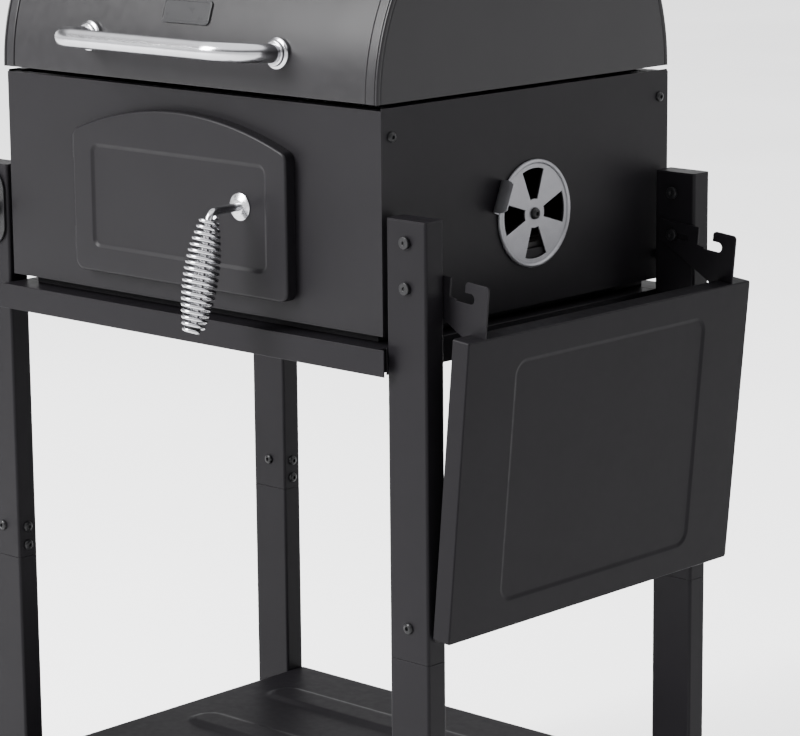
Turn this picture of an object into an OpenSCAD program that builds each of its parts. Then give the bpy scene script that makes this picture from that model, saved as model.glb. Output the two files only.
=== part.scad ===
// Charcoal barbecue cart: box firebox with a barrel lid, front charcoal door,
// rotary air vents and a folding side table, on four legs with two wheels.
// X runs across the cart, Y from front to back, Z up from the floor.

/* [Firebox] */
// Width of the firebox
fire_w = 530; // [500:1:560]
// Depth of the firebox
fire_d = 426; // [410:1:440]
// Height of the firebox walls
fire_h = 212; // [205:1:225]
// Height of the firebox rim above the floor
rim_z = 905; // [880:1:930]
// Thickness of the sheet steel
sheet = 1.5; // [1.2:0.1:2]

/* [Legs] */
// Width of a leg tube, across the cart
leg_w = 50; // [46:1:54]
// Depth of a leg tube, front to back
leg_d = 25; // [22:1:28]
// Gap between the firebox and each leg
leg_gap = 6; // [4:1:8]
// Drop from the firebox rim to the leg tops
leg_top_drop = 98; // [90:1:110]
// Drop from the firebox rim to the joint between upper and lower legs
leg_joint_drop = 521.5; // [500:0.5:540]
// Drop from the firebox rim to the bottom shelf
shelf_drop = 740; // [700:1:750]
// Height of the rails under the firebox
rail_h = 26; // [22:1:30]
// Stand-off of the front and rear rails from the legs
rail_proud = 9.5; // [8:0.5:14]

/* [Wheels] */
// Wheel radius
wheel_r = 75; // [70:1:80]
// Wheel width
wheel_w = 30; // [24:1:34]
// Axle radius
axle_r = 5; // [4:0.5:6]

/* [Lid] */
// Radius of the barrel lid
lid_r = 214.5; // [210:0.5:220]
// Gap between the firebox rim and the lid
lid_lift = 6; // [5:0.5:8]
// Overhang of the lid in front of the firebox
lid_front = 4; // [2:0.5:6]
// Width of the band of each lid end cap
band_w = 16; // [12:1:20]
// Largest opening angle of the lid
lid_open = 95; // [80:1:100]

/* [Door] */
// Width of the charcoal door
door_w = 304; // [290:1:310]
// Drop from the firebox rim to the bottom edge of the door
door_bottom = 192; // [185:1:196]
// Drop from the firebox rim to the top of the door's arch
door_top = 20.3; // [16:0.1:26]
// Radius of the door's arch
door_arch_r = 410; // [380:5:450]
// Depth of the door pan
door_depth = 13; // [11:0.5:15]

/* [Vents] */
// Radius of a vent disc
vent_r = 53.5; // [50:0.5:56]
// Drop from the firebox rim to a vent's centre
vent_drop = 121; // [115:1:128]

/* [Side table] */
// Length of the table, front to back
table_l = 426; // [410:1:440]
// Height of the hanging table
table_h = 294; // [280:1:300]
// Depth of the table pan
table_t = 20; // [18:1:22]
// Tilt of the hanging table
table_tilt = 5.3; // [4:0.1:6]
// Drop from the firebox rim to the table's pivot bolts
pivot_drop = 162; // [158:1:166]
// Spacing of the pivot and catch bolts
bolt_rise = 43; // [40:1:46]

/* [Hidden] */
$fn = 64;

// Small gaps and overlaps used throughout
touch = 0.01;        // faces of one body that lie on each other
free_gap = 0.3;      // clearance between parts that move past each other
run_gap = 0.05;      // radial clearance of a running fit

// Places along the depth, measured from the firebox front face
legs_front = -1;
legs_back = fire_d - 2;
leg_x = fire_w / 2 + leg_gap + leg_w / 2;      // centre of a leg, from the middle
leg_in_x = fire_w / 2 + leg_gap;               // inner face of a leg
leg_out_x = leg_in_x + leg_w;                  // outer face of a leg
front_leg_y = legs_front + leg_d / 2;
rear_leg_y = legs_back - leg_d / 2;
tube_wall = 1.5;

// The whole cart is shifted so that its origin is under the middle of its box
front_reach = 88.469;    // the grip is the foremost thing
back_reach = legs_back + 4 + wheel_w + 9;    // the axle cap is the rearmost
shift_y = (front_reach - back_reach) / 2;
right_reach = 375.57;     // the table's bracket is the rightmost
left_reach = leg_x + wheel_r;    // the wheels are the leftmost
shift_x = (left_reach - right_reach) / 2;

// Bolts and screws
bolt_r = 3;
head_r = 6;
head_h = 3.8;
plate_t = 2;          // table bracket plate
small_r = 2.5;

// Door
door_hinge_x = -door_w / 2 - 4.5;
door_hinge_y = -4.3;
knuckle_r = 3.3;
door_pin_r = 1.6;
handle_x = 88;
handle_drop = 105;
rod_r = 4;
rod_reach = 51;       // rod's bend, in front of the firebox face
grip_tilt = 14.5;
grip_l = 112;
grip_r_top = 8.8;
grip_r_mid = 18;
grip_r_end = 10;
wire_r = 1.7;
grip_turns = 18;

// Grates, floor pan and shelf
ledge_x = fire_w / 2 - 26;
cook_z = -40;
coal_z = -156;
floor_drop = 9.5;
rib_r = 22;
rib_half = 207;
rib_step = 122.5;
rib_places = [for (i = [-1:1]) fire_d / 2 + i * rib_step];

// Lid
lid_cy = lid_r - lid_front;
lid_hinge_y = fire_d + 7;
lid_hinge_z = 3;
lid_hinge_x = 190;
hinge_r = 4.8;
hinge_pin_r = 2.5;
lid_handle_x = 133;
lid_handle_rise = 39;
lid_tube_r = 9.5;
lid_bend_r = 40;
lid_handle_reach = 58;

// Side table, in the frame of its pivot bolts
table_back = 60.2;
table_low = -329;
table_y0 = 0.5;
table_sheet = 1.2;
bracket_front_y = legs_front + leg_d + free_gap;
bracket_rear_y = legs_back - leg_d - free_gap - plate_t;
opener_t = 3;
stack = free_gap + plate_t + 0.4;     // from a leg to the nut behind a bracket
nut_h = 5;

// Vents
vent_y = fire_d / 2 + 3;
vent_in = 14.4;
vent_out = 44.8;
vent_half = 20.5;
vent_turn = 2.7;      // the openings sit a little anticlockwise of square
tab_angle = 157;

// ---------- helpers ----------

module place() {
    translate([shift_x, shift_y, rim_z]) children();
}

module mirror_x(side) {
    mirror([side < 0 ? 1 : 0, 0, 0]) children();
}

module rounded(w, d, r) {
    square([w - 2 * r, d], center = true);
    square([w, d - 2 * r], center = true);
    for (x = [-1, 1], y = [-1, 1])
        translate([x * (w / 2 - r), y * (d / 2 - r)]) circle(r);
}

module slot2d(length, r) {
    square([length, 2 * r], center = true);
    for (x = [-1, 1]) translate([x * length / 2, 0]) circle(r);
}

// A flat shape drawn in X and Z, thick along Y from y0
module xz_plate(y0, t) {
    translate([0, y0 + t, 0]) rotate([90, 0, 0]) linear_extrude(t) children();
}

// A flat shape drawn in Y and Z, thick along X from x0
module yz_plate(x0, t) {
    translate([x0, 0, 0]) rotate([90, 0, 90]) linear_extrude(t) children();
}

module box(low, high) {
    translate(low) cube(high - low);
}

// A pan-head screw along -Y, head at the origin's front, shaft behind
module screw_y(shaft, r = small_r, head = head_r) {
    translate([0, -touch, 0]) rotate([90, 0, 0]) difference() {
        cylinder(r = head, h = head_h);
        translate([0, 0, head_h - 1.6]) cylinder(r = 1.6, h = 2);
    }
    translate([0, -1, 0]) rotate([-90, 0, 0]) cylinder(r = r, h = shaft + 1);
}

// ---------- firebox ----------

module door_opening2d() {
    w = door_w - 32;
    intersection() {
        translate([0, -door_bottom / 2 - 23]) square([w, door_bottom - 54], center = true);
        translate([0, -door_top - 16 - door_arch_r]) circle(door_arch_r, $fn = 128);
    }
}

module wall2d(w) {
    translate([0, -fire_h / 2]) square([w, fire_h], center = true);
}

// The turned-in rim of a front or rear panel, and its flanges that take the side screws
module corner_flanges() {
    box([-fire_w / 2 + sheet, sheet, -sheet], [fire_w / 2 - sheet, 12, 0]);
    for (s = [-1, 1]) mirror_x(s) difference() {
        box([fire_w / 2 - 2 * sheet, sheet, -fire_h], [fire_w / 2 - sheet, 26, -sheet]);
        for (z = [-25, -187]) translate([fire_w / 2 - 10, 14, z]) rotate([0, 90, 0])
            cylinder(r = small_r, h = 12);
    }
}

module firebox_front_panel() {
    color("#3b3a3c") place() {
        xz_plate(0, sheet) difference() {
            wall2d(fire_w);
            door_opening2d();
        }
        corner_flanges();
    }
}

module firebox_rear_panel() {
    color("#3b3a3c") place() translate([0, fire_d, 0]) mirror([0, 1, 0]) {
        xz_plate(0, sheet) wall2d(fire_w);
        corner_flanges();
    }
}

module vent_holes2d() {
    for (i = [0:3]) rotate(i * 90 + vent_turn) intersection() {
        difference() {
            circle(vent_out);
            circle(vent_in);
        }
        polygon([
            [0, 0],
            [80 * cos(vent_half), 80 * sin(vent_half)],
            [80 * cos(vent_half), -80 * sin(vent_half)]
        ]);
    }
}

module firebox_side(s) {
    rise = 2;
    color("#3b3a3c") place() mirror_x(s) {
        yz_plate(fire_w / 2 - sheet, sheet) difference() {
            translate([sheet, -fire_h]) square([fire_d - 2 * sheet, fire_h + rise]);
            translate([vent_y, -vent_drop]) {
                vent_holes2d();
                circle(small_r);
            }
            for (y = [14, fire_d - 14], z = [-25, -187]) translate([y, z]) circle(small_r);
        }
        box([fire_w / 2 - 12, 12.5, rise - sheet], [fire_w / 2 - sheet, fire_d - 12.5, rise]);
    }
}

module firebox_side_right() { firebox_side(1); }
module firebox_side_left() { firebox_side(-1); }

module firebox_floor() {
    in = 3.2;
    z = -fire_h;
    color("#333234") place() difference() {
        union() {
            box([-fire_w / 2 + in, in, z], [fire_w / 2 - in, fire_d - in, z + sheet]);
            box([-245, 15, z - floor_drop], [245, fire_d - 15, z]);
        }
        box([-245 + sheet, 15 + sheet, z - floor_drop + sheet],
            [245 - sheet, fire_d - 15 - sheet, z + 5]);
    }
}

module firebox_screws() {
    color("#1d1d1f") place() for (s = [-1, 1], y = [14, fire_d - 14], z = [-25, -187])
        mirror_x(s) translate([fire_w / 2, y, z]) rotate([0, 0, 90])
            screw_y(4.5, small_r - touch, 4.6);
}

module grate_ledges() {
    color("#333234") place() {
        for (s = [-1, 1], z = [cook_z, coal_z]) mirror_x(s) {
            box([ledge_x, 27, z - sheet], [fire_w / 2 - 3.1, fire_d - 27, z]);
            box([fire_w / 2 - 3.1, 27, z - 14], [fire_w / 2 - sheet - touch, fire_d - 27, z]);
        }
        for (y = [sheet + touch, fire_d - sheet - touch - 24])
            box([-ledge_x + 0.2, y, cook_z - sheet], [ledge_x - 0.2, y + 24, cook_z]);
    }
}

module rod_x(y, z, x0, x1, r) {
    translate([x0, y, z]) rotate([0, 90, 0]) cylinder(r = r, h = x1 - x0, $fn = 24);
}

// A flat grate with its low corner at the origin and through slots between its bars
module grate(w, l, t, bars, cross) {
    edge = 7;
    bar = 5;
    pitch = (w - 2 * edge + bar) / bars;
    run = (l - 2 * edge + bar) / cross;
    linear_extrude(t) difference() {
        square([w, l]);
        for (i = [0:bars - 1], j = [0:cross - 1])
            translate([edge + i * pitch, edge + j * run]) square([pitch - bar, run - bar]);
    }
}

module cooking_grate(s) {
    color("#2c2b2b") place() mirror_x(s)
        translate([1.5, 15, cook_z + touch]) grate(258, fire_d - 30, 8, 16, 2);
}

module cooking_grate_right() { cooking_grate(1); }
module cooking_grate_left() { cooking_grate(-1); }

module charcoal_grate() {
    color("#4b4846") place()
        translate([-258, 30, coal_z + touch]) grate(516, fire_d - 60, 5, 28, 2);
}

module ash_tray() {
    x = 132;
    low = -fire_h - floor_drop + sheet + touch;
    color("#5a5654") place() difference() {
        box([-x, 24, low], [x, fire_d - 24, low + 29]);
        box([-x + sheet, 24 + sheet, low + sheet], [x - sheet, fire_d - 24 - sheet, low + 40]);
    }
}

// ---------- door ----------

module door2d(inset) {
    r = 10;
    x = door_w / 2 - inset;
    low = -door_bottom + inset;
    arch = door_arch_r - inset;
    cz = -door_top - door_arch_r;
    corner_z = cz + sqrt(pow(arch - r, 2) - pow(x - r, 2)) + 0.6;
    flat = (x - r) * (1 + r / (arch - r));
    intersection() {
        translate([0, cz]) circle(arch, $fn = 160);
        union() {
            translate([-flat, low + r]) square([2 * flat, door_bottom]);
            translate([-x + r, low]) square([2 * x - 2 * r, door_bottom]);
            translate([-x, low + r]) square([2 * x, corner_z - low - r]);
            for (sx = [-1, 1], z = [low + r, corner_z]) translate([sx * (x - r), z]) circle(r);
        }
    }
}

module door_press2d(grow) {
    translate([0, -114]) rounded(248 + grow, 104 + grow, 9 + grow / 2);
}

module door_panel() {
    back = -0.5;
    press = 2;
    color("#3b3a3c") place() {
        difference() {
            xz_plate(-door_depth, door_depth + back) door2d(0);
            xz_plate(-door_depth + sheet, door_depth) difference() {
                door2d(sheet);
                door_press2d(2 * sheet);
            }
            xz_plate(-door_depth + press + sheet, door_depth) door_press2d(2 * sheet);
            xz_plate(-door_depth - 1, 1 + press) door_press2d(0);
            translate([handle_x, 0, -handle_drop]) rotate([90, 0, 0])
                cylinder(r = rod_r + run_gap, h = 40, center = true);
        }
        for (z = [-66.8, -160.8]) difference() {
            union() {
                translate([door_hinge_x, door_hinge_y, z]) cylinder(r = knuckle_r, h = 11);
                box([door_hinge_x, door_hinge_y - 1.5, z],
                    [-door_w / 2 + 1, door_hinge_y + 1.5, z + 11]);
            }
            translate([door_hinge_x, door_hinge_y, z - 1])
                cylinder(r = door_pin_r + run_gap, h = 13);
        }
    }
}

module door_hinge_brackets() {
    color("#2b2a2c") place() for (z = [-78, -172]) difference() {
        union() {
            translate([door_hinge_x, door_hinge_y, z]) cylinder(r = knuckle_r, h = 10.8);
            box([door_hinge_x - knuckle_r, door_hinge_y, z], [door_hinge_x, -touch, z + 10.8]);
            box([door_hinge_x - 9.5, -1, z - 6], [door_hinge_x, -touch, z + 10.8]);
        }
        translate([door_hinge_x, door_hinge_y, z - 1]) cylinder(r = door_pin_r, h = 20);
    }
}

module door_hinge_pins() {
    color("#9a9a9a") place() for (z = [-78, -172]) translate([door_hinge_x, door_hinge_y, z]) {
        translate([0, 0, -1.5]) cylinder(r = 2.6, h = 1.5);
        cylinder(r = door_pin_r, h = 23);
    }
}

module at_handle() {
    place() translate([handle_x, 0, -handle_drop]) children();
}

module door_washer() {
    color("#c9c9cb") at_handle() translate([0, -door_depth + 2, 0]) rotate([90, 0, 0])
        rotate_extrude() polygon([
            [rod_r + run_gap, touch],
            [13.5, touch],
            [13.5, 1.2],
            [7.5, 4],
            [rod_r + run_gap, 4]
        ]);
}

module along_grip() {
    translate([0, -rod_reach, 0]) rotate([-grip_tilt, 0, 0]) children();
}

module door_handle_rod() {
    color("#8c8c90") at_handle() {
        translate([0, -rod_reach, 0]) rotate([-90, 0, 0]) cylinder(r = rod_r, h = rod_reach - 0.9);
        along_grip() {
            sphere(r = rod_r);
            translate([0, 0, -grip_l - 2]) cylinder(r = rod_r, h = grip_l + 2);
        }
    }
}

// Radius of the barrel-shaped grip at a fraction of its length
function grip_r(t) = t < 0.5
    ? grip_r_mid - (grip_r_mid - grip_r_top) * pow(1 - 2 * t, 2)
    : grip_r_mid - (grip_r_mid - grip_r_end) * pow(2 * t - 1, 2);

module door_handle_grip() {
    top = -7;
    step = (grip_l + top - 2) / grip_turns;
    color("#d0d0d2") at_handle() along_grip() {
        rotate_extrude() polygon(concat(
            [[rod_r, top - grip_turns * step], [rod_r, top]],
            [for (i = [0:grip_turns]) [grip_r(i / grip_turns) - wire_r, top - i * step]]
        ));
        for (i = [0:grip_turns]) translate([0, 0, top - i * step]) rotate_extrude()
            translate([grip_r(i / grip_turns) - wire_r, 0]) circle(r = wire_r, $fn = 20);
    }
}

module door_latch_cam() {
    color("#77777a") at_handle() {
        xz_plate(-6.5, 2.5) difference() {
            union() {
                circle(9);
                translate([0, -7]) square([42, 14]);
            }
            circle(rod_r);
        }
    }
}

// ---------- vents ----------

module vent_disc(s) {
    x = fire_w / 2 + free_gap;
    t = 1.2;
    color("#a9a9ab") place() mirror_x(s) {
        yz_plate(x, t) translate([vent_y, -vent_drop]) difference() {
            circle(vent_r - 2);
            vent_holes2d();
            circle(small_r + run_gap);
        }
        translate([x, vent_y, -vent_drop]) rotate([0, 90, 0]) difference() {
            union() {
                translate([0, 0, 0]) cylinder(r = vent_r, h = 1.6);
                translate([0, 0, 1.6]) rotate_extrude() translate([vent_r - 2, 0]) circle(r = 2);
            }
            translate([0, 0, -4]) cylinder(r = vent_r - 4, h = 10);
            translate([0, 0, -10]) cylinder(r = vent_r + 5, h = 10);
        }
        translate([x, vent_y, -vent_drop]) rotate([tab_angle - 180, 0, 0]) {
            box([0, -vent_r - 8, -16.5], [t, -vent_r + 1, 16.5]);
            box([0, -vent_r - 8 - t, -16.5], [19, -vent_r - 8, 16.5]);
        }
    }
}

module vent_disc_right() { vent_disc(1); }
module vent_disc_left() { vent_disc(-1); }

module vent_screws() {
    out = 2;
    color("#1d1d1f") place() for (s = [-1, 1]) mirror_x(s)
        translate([fire_w / 2 + out, vent_y, -vent_drop]) rotate([0, 0, 90])
            screw_y(out + 5, small_r, 5);
}

// ---------- lid ----------

module lid_at() {
    place() translate([0, lid_cy, lid_lift]) children();
}

module half_disc2d(r) {
    intersection() {
        circle(r, $fn = 160);
        translate([-r, 0]) square([2 * r, r]);
    }
}

module lid_shell() {
    color("#47474a") lid_at() yz_plate(-fire_w / 2 + sheet + touch, fire_w - 2 * sheet - 2 * touch)
        difference() {
            half_disc2d(lid_r);
            circle(lid_r - sheet, $fn = 160);
        }
}

module lid_end(s) {
    lap = 1.2;
    color("#47474a") lid_at() mirror_x(s) {
        yz_plate(fire_w / 2 - sheet, sheet) half_disc2d(lid_r + lap);
        yz_plate(fire_w / 2 - band_w, band_w - sheet) difference() {
            half_disc2d(lid_r + lap);
            circle(lid_r + touch, $fn = 160);
        }
    }
}

module lid_end_right() { lid_end(1); }
module lid_end_left() { lid_end(-1); }

// The space inside the lid's outer surface, for cutting parts that sit on it
module lid_solid() {
    lid_at() yz_plate(-fire_w / 2, fire_w) circle(lid_r + touch, $fn = 160);
}

module at_lid_handle() {
    lid_at() translate([0, -sqrt(lid_r * lid_r - lid_handle_rise * lid_handle_rise), lid_handle_rise])
        rotate([-4.5, 0, 0]) children();
}

module lid_handle() {
    run = lid_handle_reach - lid_bend_r;
    color("#c9c9cb") at_lid_handle() {
        rod_x(-lid_handle_reach, 0, lid_bend_r - lid_handle_x, lid_handle_x - lid_bend_r, lid_tube_r);
        for (s = [-1, 1]) mirror_x(s) {
            translate([lid_handle_x - lid_bend_r, -run, 0]) rotate([0, 0, -90])
                rotate_extrude(angle = 90) translate([lid_bend_r, 0]) circle(lid_tube_r, $fn = 48);
            translate([lid_handle_x, -run, 0]) rotate([-90, 0, 0]) cylinder(r = lid_tube_r, h = run - 3.2);
        }
    }
}

module lid_rosettes() {
    color("#b9b9bb") difference() {
        at_lid_handle() for (s = [-1, 1]) mirror_x(s)
            translate([lid_handle_x, 3, 0]) rotate([90, 0, 0]) difference() {
                union() {
                    cylinder(r = 15.4, h = 7.5);
                    cylinder(r = 12.4, h = 12);
                }
                translate([0, 0, 6.2]) cylinder(r = lid_tube_r, h = 10);
            }
        lid_solid();
    }
}

module lid_badge() {
    angle = 19.1;
    color("#2e2e30") lid_at() rotate([-angle, 0, 0])
        xz_plate(-lid_r - 2.2, 2.2) rounded(68, 25, 5);
}

module lid_hinge_leaves() {
    color("#2b2a2c") difference() {
        place() for (x = [-lid_hinge_x, lid_hinge_x]) {
            box([x - 20, fire_d - 8, 9], [x + 20, fire_d + 1.5, 38]);
            for (e = [-20, 10.2]) {
                box([x + e, fire_d - 0.5, 5], [x + e + 9.8, lid_hinge_y, 9]);
                rod_x(lid_hinge_y, lid_hinge_z, x + e, x + e + 9.8, hinge_r);
            }
        }
        lid_solid();
        place() for (x = [-lid_hinge_x, lid_hinge_x])
            rod_x(lid_hinge_y, lid_hinge_z, x - 25, x + 25, hinge_pin_r + run_gap);
    }
}

module body_hinge_leaves() {
    color("#2b2a2c") place() difference() {
        for (x = [-lid_hinge_x, lid_hinge_x]) {
            box([x - 20, fire_d + touch, -38], [x + 20, fire_d + sheet, -1]);
            box([x - 9.8, fire_d + touch, -4], [x + 9.8, lid_hinge_y, -1]);
            rod_x(lid_hinge_y, lid_hinge_z, x - 9.8, x + 9.8, hinge_r);
        }
        for (x = [-lid_hinge_x, lid_hinge_x])
            rod_x(lid_hinge_y, lid_hinge_z, x - 25, x + 25, hinge_pin_r);
    }
}

module lid_hinge_pins() {
    color("#9a9a9a") place() for (x = [-lid_hinge_x, lid_hinge_x]) {
        rod_x(lid_hinge_y, lid_hinge_z, x - 20.5, x + 20.5, hinge_pin_r);
        rod_x(lid_hinge_y, lid_hinge_z, x - 22.5, x - 20.4, hinge_pin_r + 1.5);
    }
}

// ---------- cart ----------

module leg_tube2d(grow) {
    rounded(leg_w + grow, leg_d + grow, 3 + grow / 2);
}

// Bolt holes through an upper leg, front to back
module bolt_holes() {
    for (z = [-pivot_drop, -pivot_drop + bolt_rise]) translate([0, 0, z]) rotate([90, 0, 0])
        cylinder(r = bolt_r, h = 60, center = true);
}

module upper_leg(s, y) {
    cap = 1.5;
    color("#3f3e40") place() mirror_x(s) translate([leg_x, y, 0]) difference() {
        translate([0, 0, -leg_joint_drop]) linear_extrude(leg_joint_drop - leg_top_drop - cap) difference() {
            leg_tube2d(0);
            leg_tube2d(-2 * tube_wall);
        }
        if (s > 0 || y == front_leg_y) bolt_holes();
    }
}

module upper_leg_front_right() { upper_leg(1, front_leg_y); }
module upper_leg_front_left() { upper_leg(-1, front_leg_y); }
module upper_leg_rear_right() { upper_leg(1, rear_leg_y); }
module upper_leg_rear_left() { upper_leg(-1, rear_leg_y); }

module lower_leg(s, y, stop) {
    insert = 60;
    color("#3f3e40") place() mirror_x(s) translate([leg_x, y, 0]) difference() {
        union() {
            translate([0, 0, -rim_z + stop]) linear_extrude(rim_z - stop - leg_joint_drop - 0.4)
                leg_tube2d(0);
            translate([0, 0, -leg_joint_drop - 1]) linear_extrude(insert)
                leg_tube2d(-2 * tube_wall - 0.4);
        }
        translate([0, 0, -rim_z]) linear_extrude(rim_z) leg_tube2d(-4 * tube_wall);
        if (s < 0) translate([0, 0, -rim_z + wheel_r]) rotate([90, 0, 0])
            cylinder(r = axle_r, h = 60, center = true);
    }
}

module lower_leg_front_right() { lower_leg(1, front_leg_y, 3); }
module lower_leg_front_left() { lower_leg(-1, front_leg_y, 45); }
module lower_leg_rear_right() { lower_leg(1, rear_leg_y, 3); }
module lower_leg_rear_left() { lower_leg(-1, rear_leg_y, 45); }

module leg_caps() {
    plug = 12;
    color("#4a494b") place() for (s = [-1, 1], y = [front_leg_y, rear_leg_y]) mirror_x(s)
        translate([leg_x, y, -leg_top_drop - 1.5]) {
            linear_extrude(1.5) leg_tube2d(0);
            translate([0, 0, -plug]) linear_extrude(plug + touch) difference() {
                leg_tube2d(-2 * tube_wall - 0.2);
                leg_tube2d(-4 * tube_wall);
            }
        }
}

module foot_caps() {
    color("#1b1b1c") place() for (y = [front_leg_y, rear_leg_y]) translate([leg_x, y, -rim_z])
        difference() {
            linear_extrude(24) leg_tube2d(4);
            translate([0, 0, 3]) linear_extrude(30) leg_tube2d(0.04);
        }
}

module leg_screws() {
    z = -489;
    color("#1d1d1f") place() for (s = [-1, 1]) mirror_x(s) {
        for (y = [legs_front, legs_back - leg_d]) translate([leg_x, y, z]) screw_y(-2 * touch);
        for (y = [front_leg_y, rear_leg_y], dz = [0, -20]) translate([leg_in_x, y, z + dz])
            rotate([0, 0, -90]) screw_y(-2 * touch);
    }
}

// A rail across the cart: its web stands proud of the legs, and tabs hold it to their inner faces
module cross_rail() {
    top = -fire_h - 9.5;
    web_x = leg_in_x + 6;
    tab_x = leg_in_x - sheet;
    box([-web_x, -rail_proud - sheet, top - rail_h], [web_x, -rail_proud, top]);
    box([-tab_x, -rail_proud, top - sheet], [tab_x, leg_d, top]);
    for (s = [-1, 1]) mirror_x(s)
        box([tab_x - 2 * sheet, -rail_proud, top - rail_h + 2], [tab_x - sheet, leg_d, top - sheet]);
}

module front_rail() {
    color("#3f3e40") place() translate([0, legs_front, 0]) cross_rail();
}

module rear_rail() {
    color("#3f3e40") place() translate([0, legs_back, 0]) mirror([0, 1, 0]) cross_rail();
}

module side_rail(s) {
    top = -fire_h - 9.5;
    color("#3f3e40") place() mirror_x(s) {
        box([leg_in_x - sheet, legs_front, top - rail_h], [leg_in_x - touch, legs_back, top]);
        box([leg_in_x - 34, legs_front + leg_d + 0.2, top - sheet],
            [leg_in_x - sheet, legs_back - leg_d - 0.2, top]);
    }
}

module side_rail_right() { side_rail(1); }
module side_rail_left() { side_rail(-1); }

module bottom_shelf() {
    t = 1.2;
    rise = 3;
    flange = 26;
    x = leg_in_x - touch;
    color("#454446") place() translate([0, 0, -shelf_drop]) difference() {
        union() {
            box([-x, legs_front, -flange], [x, legs_back, 0]);
            for (y = rib_places) translate([0, y, -touch]) linear_extrude(rise) slot2d(2 * rib_half, rib_r);
        }
        box([-x + t, legs_front + t, -flange - 1], [x - t, legs_back - t, -t]);
        for (y = rib_places) translate([0, y, -t - 1]) linear_extrude(rise + 1)
            slot2d(2 * rib_half, rib_r - t);
    }
}

// ---------- axle and wheels ----------

module along_axle(y) {
    place() translate([-leg_x, y, -rim_z + wheel_r]) rotate([-90, 0, 0]) children();
}

axle_front = legs_front - 4 - wheel_w - 6;
axle_back = legs_back + 4 + wheel_w + 6;

module axle() {
    color("#9a9a9a") along_axle(axle_front) cylinder(r = axle_r, h = axle_back - axle_front);
}

module axle_caps() {
    color("#1b1b1c") {
        along_axle(axle_front - 3) difference() {
            cylinder(r = 9, h = 8);
            translate([0, 0, 3]) cylinder(r = axle_r, h = 10);
        }
        along_axle(axle_back - 5) difference() {
            cylinder(r = 9, h = 8);
            translate([0, 0, -5]) cylinder(r = axle_r, h = 10);
        }
    }
}

module wheel() {
    rim_r = wheel_r - 14;
    difference() {
        union() {
            cylinder(r = 14, h = wheel_w);
            difference() {
                cylinder(r = rim_r, h = wheel_w);
                translate([0, 0, -1]) cylinder(r = rim_r - 5, h = wheel_w + 2);
            }
            translate([0, 0, wheel_w / 2 - 3]) difference() {
                cylinder(r = rim_r - 4, h = 6);
                for (i = [0:5]) rotate(i * 60) translate([34, 0, -1]) cylinder(r = 11, h = 8);
            }
        }
        translate([0, 0, -1]) cylinder(r = axle_r + run_gap, h = wheel_w + 2);
    }
}

module tyre() {
    rim_r = wheel_r - 14;
    side = 2;
    shoulder = 5;
    rotate_extrude($fn = 96) polygon([
        [rim_r, side],
        [wheel_r - 3, side],
        [wheel_r, side + shoulder],
        [wheel_r, wheel_w - side - shoulder],
        [wheel_r - 3, wheel_w - side],
        [rim_r, wheel_w - side]
    ]);
}

module wheel_front() { color("#232324") along_axle(legs_front - 4 - wheel_w) wheel(); }
module tyre_front() { color("#161617") along_axle(legs_front - 4 - wheel_w) tyre(); }
module wheel_rear() { color("#232324") along_axle(legs_back + 4) wheel(); }
module tyre_rear() { color("#161617") along_axle(legs_back + 4) tyre(); }

// ---------- side table ----------

// Table frame: X out of the table's face, Z up its length, origin on the pivot bolts
module at_table() {
    place() translate([leg_x, 0, -pivot_drop]) rotate([0, table_tilt, 0]) children();
}

module table_press2d(grow) {
    rounded(table_l - 140 + grow, table_h - 56 + grow, 15 + grow / 2);
}

module table_right() {
    t = table_sheet;
    face = table_back + table_t;
    high = table_low + table_h;
    press = 1.5;
    middle = [table_y0 + table_l / 2, (table_low + high) / 2];
    color("#37363a") at_table() difference() {
        box([table_back, table_y0, table_low], [face, table_y0 + table_l, high]);
        difference() {
            box([table_back - 1, table_y0 + t, table_low + t],
                [face - t, table_y0 + table_l - t, high - t]);
            yz_plate(face - t - press, 3) translate(middle) table_press2d(2 * t);
        }
        yz_plate(face - press, press + 1) translate(middle) table_press2d(0);
        for (y = [bracket_front_y, bracket_rear_y])
            box([table_back - 1, y - 0.1, high - 2], [face - t, y + plate_t + 0.1, high + 1]);
    }
}

// Hooked plate of the table, in the table frame
module bracket2d() {
    top = 13.8;
    edge = table_back + table_t - table_sheet - touch;
    hook = 62.5;
    hook_z = -1.6;
    r = 5;
    corner = 4;
    difference() {
        union() {
            translate([-17, -8]) square([49, top + 8]);
            polygon([[-17, -8], [-5, -12], [60, -43.8], [60, -7], [32, -4.2], [32, 0]]);
            translate([50.5, -75]) square([edge - 50.5, 75 + top - corner]);
            translate([50.5 + corner, 0]) square([edge - 50.5 - 2 * corner, top]);
            for (x = [50.5 + corner, edge - corner]) translate([x, top - corner]) circle(corner);
        }
        translate([50, -76]) square([12, 31]);
        translate([hook - r, hook_z]) circle(r);
        translate([40, hook_z - r]) square([hook - r - 40, 2 * r]);
        translate([8, 0]) slot2d(16, bolt_r + free_gap);
    }
}

module table_right_brackets() {
    inner = table_back + table_t - table_sheet - touch;
    color("#2f2e31") at_table() for (p = [[bracket_front_y, 0], [bracket_rear_y, -16]]) {
        xz_plate(p[0], plate_t) bracket2d();
        box([inner - plate_t, p[0] + p[1], -75], [inner, p[0] + p[1] + 16 + plate_t, -45]);
    }
}

// The pivot and catch bolts of the right legs, then those of the left leg's opener
module at_bolts() {
    for (z = [-pivot_drop, -pivot_drop + bolt_rise]) {
        for (y = [legs_front, legs_back - leg_d - stack]) translate([leg_x, y, z]) children(0);
        translate([-leg_x, legs_front - opener_t, z]) children(1);
    }
}

module table_bolts() {
    color("#1d1d1f") place() at_bolts() {
        screw_y(leg_d + stack + nut_h + 1, bolt_r);
        screw_y(opener_t + leg_d + nut_h + 1, bolt_r);
    }
}

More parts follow.
